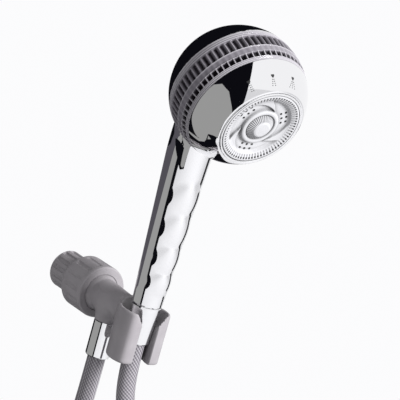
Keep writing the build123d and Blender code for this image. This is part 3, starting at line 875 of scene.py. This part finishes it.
FACE_R = 31.6
FACE_STEPS = 360
CAP_R = 11.2
LOBES = (30.0, 150.0, 270.0)
JET_ROWS, JET_OFFSETS = (18.5, 22.4), (-4.6, 0.0, 4.6)
SLOT_DEGREES = 5.0
DOME_RIBS = 40
FACE_SECTION = ((11.4, -1.9), (11.7, -1.5), (12.3, -1.05), (13.6, -0.95), (14.6, -1.2), (15.1, -1.7),
                (15.6, -1.9), (23.0, -1.75), (24.6, -1.45), (26.0, -0.75), (28.0, 0.15), (29.8, 0.50),
                (30.8, 0.45), (31.3, 0.2), (FACE_R, -0.5))
HOLLOW_STEEP_SIDE = ((15.0, 37.0), (18.4, 51.0), (22.6, 62.0), (26.3, 71.0))
HOLLOW_SHALLOW_SIDE = ((15.0, -96.0), (16.6, -74.0), (18.6, -58.0), (21.4, -40.0), (23.3, -27.0),
                       (26.1, -12.0))
DOME_SECTION = ((0, 2.3), (5.4, 2.15), (6.6, 1.8), (7.4, 1.25), (8.6, 0.2), (10.4, -1.15),
                (CAP_R - 0.15, -1.6), (CAP_R, -2.0))


def polar_plate(name, node, radii, steps, height, bottom):
    """A plate whose top is a height over polar rings, closed by a wall and a flat back."""
    a = np.arange(steps) * TAU / steps
    rr = np.repeat(np.asarray(radii)[:, None], steps, 1)
    aa = np.repeat(a[None, :], len(radii), 0)
    h = height(rr, aa)
    top = np.stack([rr * np.cos(aa), rr * np.sin(aa), h], -1)[::-1]
    rows = [top.reshape(-1, 3)]
    if radii[0] > 0.5:
        foot = top[-1].copy()
        foot[:, 2] = bottom
        rows.append(foot)
    outer = top[0].copy()
    outer[:, 2] = bottom
    verts = np.concatenate([outer] + rows)
    count = len(verts) // steps
    faces = grid_faces(count, steps, flip=True).tolist()
    if radii[0] > 0.5:
        c = np.arange(steps)
        n = (c + 1) % steps
        last = (count - 1) * steps
        faces += np.stack([last + n, last + c, c, n], -1)[:, ::-1].tolist()
    else:
        faces.append([(count - 1) * steps + i for i in range(steps)])
        faces.append([i for i in range(steps)][::-1])
    obj = build(name, HEAD, verts, faces, FACE, sharp=40)
    return settle(obj, "spray_drum", "face_plastic", node)


def degrees_from(a, middle):
    """Angle from a middle, in degrees either way."""
    return (np.degrees(a) - middle + 180) % 360 - 180


def face_height(r, a):
    """Dished plate with three swept hollows, jets in each, and slots round its rim."""
    h = np.interp(r, *zip(*FACE_SECTION))
    for middle in LOBES:
        off = degrees_from(a, middle)
        steep = np.interp(r, *zip(*HOLLOW_STEEP_SIDE))
        shallow = np.interp(r, *zip(*HOLLOW_SHALLOW_SIDE))
        wide = r * math.pi / 180
        inside = ramp((steep - off) * wide, 0, 0.9) * ramp((off - shallow) * wide, 0, 2.6)
        inside = inside * ramp(r, 15.0, 15.9) * (1 - ramp(r, 23.2, 26.2))
        h = h - 1.7 * inside
    slot = np.abs(((np.degrees(a) / SLOT_DEGREES) % 1.0) - 0.5) * 2
    band = ramp(r, 25.4, 26.2) * (1 - ramp(r, 29.5, 29.9))
    cut = band * (1 - ramp(slot, 0.30, 0.52))
    h = h - cut * (0.45 + 1.0 * ramp(r, 28.2, 29.2))
    x, y = r * np.cos(a), r * np.sin(a)
    for middle in LOBES:
        m = math.radians(middle)
        for row in JET_ROWS:
            for side in JET_OFFSETS:
                out = row - side ** 2 / (2 * row)
                jx = out * math.cos(m) - side * math.sin(m)
                jy = out * math.sin(m) + side * math.cos(m)
                h = h - 2.6 * (1 - ramp(np.hypot(x - jx, y - jy), 0.62, 0.98))
    return FACE_U + h


def cap_height(r, a):
    """Dome with ribs down its sides."""
    h = np.interp(r, *zip(*DOME_SECTION))
    rib = 0.5 - 0.5 * np.cos(DOME_RIBS * a)
    band = ramp(r, 6.4, 7.4) * (1 - ramp(r, 10.6, 11.1))
    return FACE_U + h - 0.55 * band * rib ** 2


def make_face():
    radii = np.concatenate([np.arange(11.4, FACE_R, 0.21), [FACE_R]])
    polar_plate("face_plate", "spray_face", radii, FACE_STEPS, face_height, FACE_U - 6.0)
    radii = np.concatenate([[0.05, 1.5, 3.0, 4.5], np.arange(5.2, CAP_R, 0.2), [CAP_R]])
    polar_plate("centre_dome", "centre_cap", radii, 480, cap_height, FACE_U - 2.55)


make_front_shell()
make_bezel()
make_selector_ring()
make_face()


# ---- springs -------------------------------------------------------------------------------------
def make_spring(name, place, offset, radius, wire, low, high, turns, body, anchor):
    """A round-wire compression spring about a place's Z."""
    t = np.linspace(0, 1, int(turns * 28) + 1)
    a = TAU * turns * t
    rise = low + wire + (high - low - 2 * wire) * t
    path = np.stack([offset + radius * np.cos(a), radius * np.sin(a), rise], -1)
    out = np.stack([np.cos(a), np.sin(a), 0 * a], -1)
    up = np.array([0.0, 0.0, 1.0])
    around = np.arange(10) * TAU / 10
    section = np.cos(around)[None, :, None] * out[:, None] + np.sin(around)[None, :, None] * up
    verts = path[:, None] + wire * section
    faces = grid_faces(len(path), len(around)).tolist()
    last = (len(path) - 1) * len(around)
    faces += [list(range(len(around)))[::-1], [last + i for i in range(len(around))]]
    obj = build(name + "_coil", place, verts.reshape(-1, 3), faces, STEEL)
    settle(obj, body, "steel", name)
    foot = place.world(np.array([[offset, 0.0, anchor]]))[0]
    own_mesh(obj)


make_spring("detent_spring", HEAD, 36.0, 1.15, 0.25, -15.5, -12.7, 4, "handset", -15.5)
make_spring("check_spring", HANDLE, 0.0, 3.4, 0.4, 14.4, 22.6, 5, "handset", 22.6)


# ---- floor and light -----------------------------------------------------------------------------
def make_floor():
    size = 40.0
    bottom = cad_box[0][2] - 0.004
    verts = [(-size, -size, bottom), (size, -size, bottom), (size, size, bottom), (-size, size, bottom)]
    material, node = shader("floor", (0.74, 0.74, 0.75), 0.7)
    build("floor", None, verts, [(0, 1, 2, 3)], material)


LAMP_SPREAD = math.radians(50)


def light_panel(name, target, azimuth, elevation, distance, size, power):
    """A soft lamp aimed at a point, which lights matt finishes and isn't mirrored by the polished ones."""
    data = bpy.data.lights.new(name, "AREA")
    data.size = size
    data.spread = LAMP_SPREAD
    data.energy = power
    obj = bpy.data.objects.new(name, data)
    bpy.context.scene.collection.objects.link(obj)
    obj.location, back = look_from(target, azimuth, elevation, distance)
    obj.rotation_euler = back.to_track_quat("Z", "Y").to_euler()
    obj.visible_glossy = False
    return obj


FRONT = HANDLE.y if HANDLE.y[1] < 0 else -HANDLE.y
BLACK = (0.004, 0.004, 0.006)
LIGHT_GREY = (0.34, 0.34, 0.335)


def card(name, centre, distance, colour, edges):
    """A curved studio card that only the mirrored finishes see.

    Each edge is an angle rightwards from the camera's side, with the card's low and high ends there, all
    in degrees. The card is that many metres from its centre.
    """
    angles, lows, highs = np.array(edges, float).T
    a = np.linspace(angles[0], angles[-1], 121)
    share = np.linspace(0, 1, 25)[:, None]
    low, high = np.interp(a, angles, lows), np.interp(a, angles, highs)
    rise = np.radians(low + (high - low) * share)[..., None]
    turn = np.radians(a + CAMERA_AZIMUTH)
    way = np.outer(np.sin(turn), HANDLE.x) + np.outer(np.cos(turn), FRONT)
    verts = centre + distance * (np.cos(rise) * way + np.sin(rise) * HANDLE.z)
    material, node = shader(name + "_paint", (0, 0, 0), 0.9)
    node.inputs["Emission Color"].default_value = (*colour, 1)
    node.inputs["Emission Strength"].default_value = 1.0
    node.inputs["Specular IOR Level"].default_value = 0.0
    obj = build(name, None, verts.reshape(-1, 3), grid_faces(len(share), len(a), closed=False), material)
    obj.visible_camera = False
    obj.visible_diffuse = False
    obj.visible_shadow = False


# The cards' edges were laid out by hand from the directions in which a helper script found that the
# photo's dark and grey fields are mirrored. The upper edge of the head's grey card is almost wholly
# that script's output.
HEAD_BLACK_EDGES = ((-120, -30, 88), (-95, -45, 88), (-64, -60, 88), (-40, -62, 88), (-33, -53, 88),
                    (2, -53, 88), (5, -10, 88), (8, 2, 88), (9, 42, 88))
HEAD_GREY_EDGES = ((-64, -58, -52), (-59, -60, -37), (-52, -61, -23), (-43, -61, -5), (-37, -56, 6),
                   (-32, -50, 11), (-23, -50, 15), (-12, -52, 9), (-4, -52, -7), (1, -50, -22))
FAR_GREY_EDGES = ((-124, -62, -20), (-115, -66, -16), (-104, -70, -13), (-78, -70, -9), (-58, -70, -8),
                  (-54, -70, -9), (-50, -70, -30))
FAR_MAUVE_EDGES = ((-190, -26, -8), (-124, -30, -9), (-108, -30, -6), (-82, -11, -7))


def make_cards():
    """Near cards round the head, and a wider set round the handle behind them."""
    head = HEAD.origin
    grip = HANDLE.origin + 0.120 * HANDLE.z
    card("head_black", head, 0.092, BLACK, HEAD_BLACK_EDGES)
    card("head_grey", head, 0.090, LIGHT_GREY, HEAD_GREY_EDGES)
    card("far_black", grip, 0.42, BLACK, [(-190, -86, 88), (-36, -86, 88)])
    card("far_low", grip, 0.42, BLACK, [(-40, -86, -58), (14, -86, -58)])
    card("far_grey", grip, 0.41, LIGHT_GREY, FAR_GREY_EDGES)
    card("far_mauve", grip, 0.405, (0.09, 0.085, 0.10), FAR_MAUVE_EDGES)
    card("far_right", grip, 0.42, (0.03, 0.03, 0.032), [(118, -36, -8), (140, -36, -8)])


def make_world():
    world = bpy.data.worlds.new("studio")
    bpy.context.scene.world = world
    world.use_nodes = True
    world.node_tree.nodes["Background"].inputs["Color"].default_value = (0.97, 0.97, 0.98, 1)
    world.node_tree.nodes["Background"].inputs["Strength"].default_value = 1.0


make_floor()
make_cards()
make_world()
light_panel("key", (0, -0.12, 0.08), 18, 2, 2.4, 0.9, 17)
bpy.context.scene.view_settings.view_transform = "Standard"
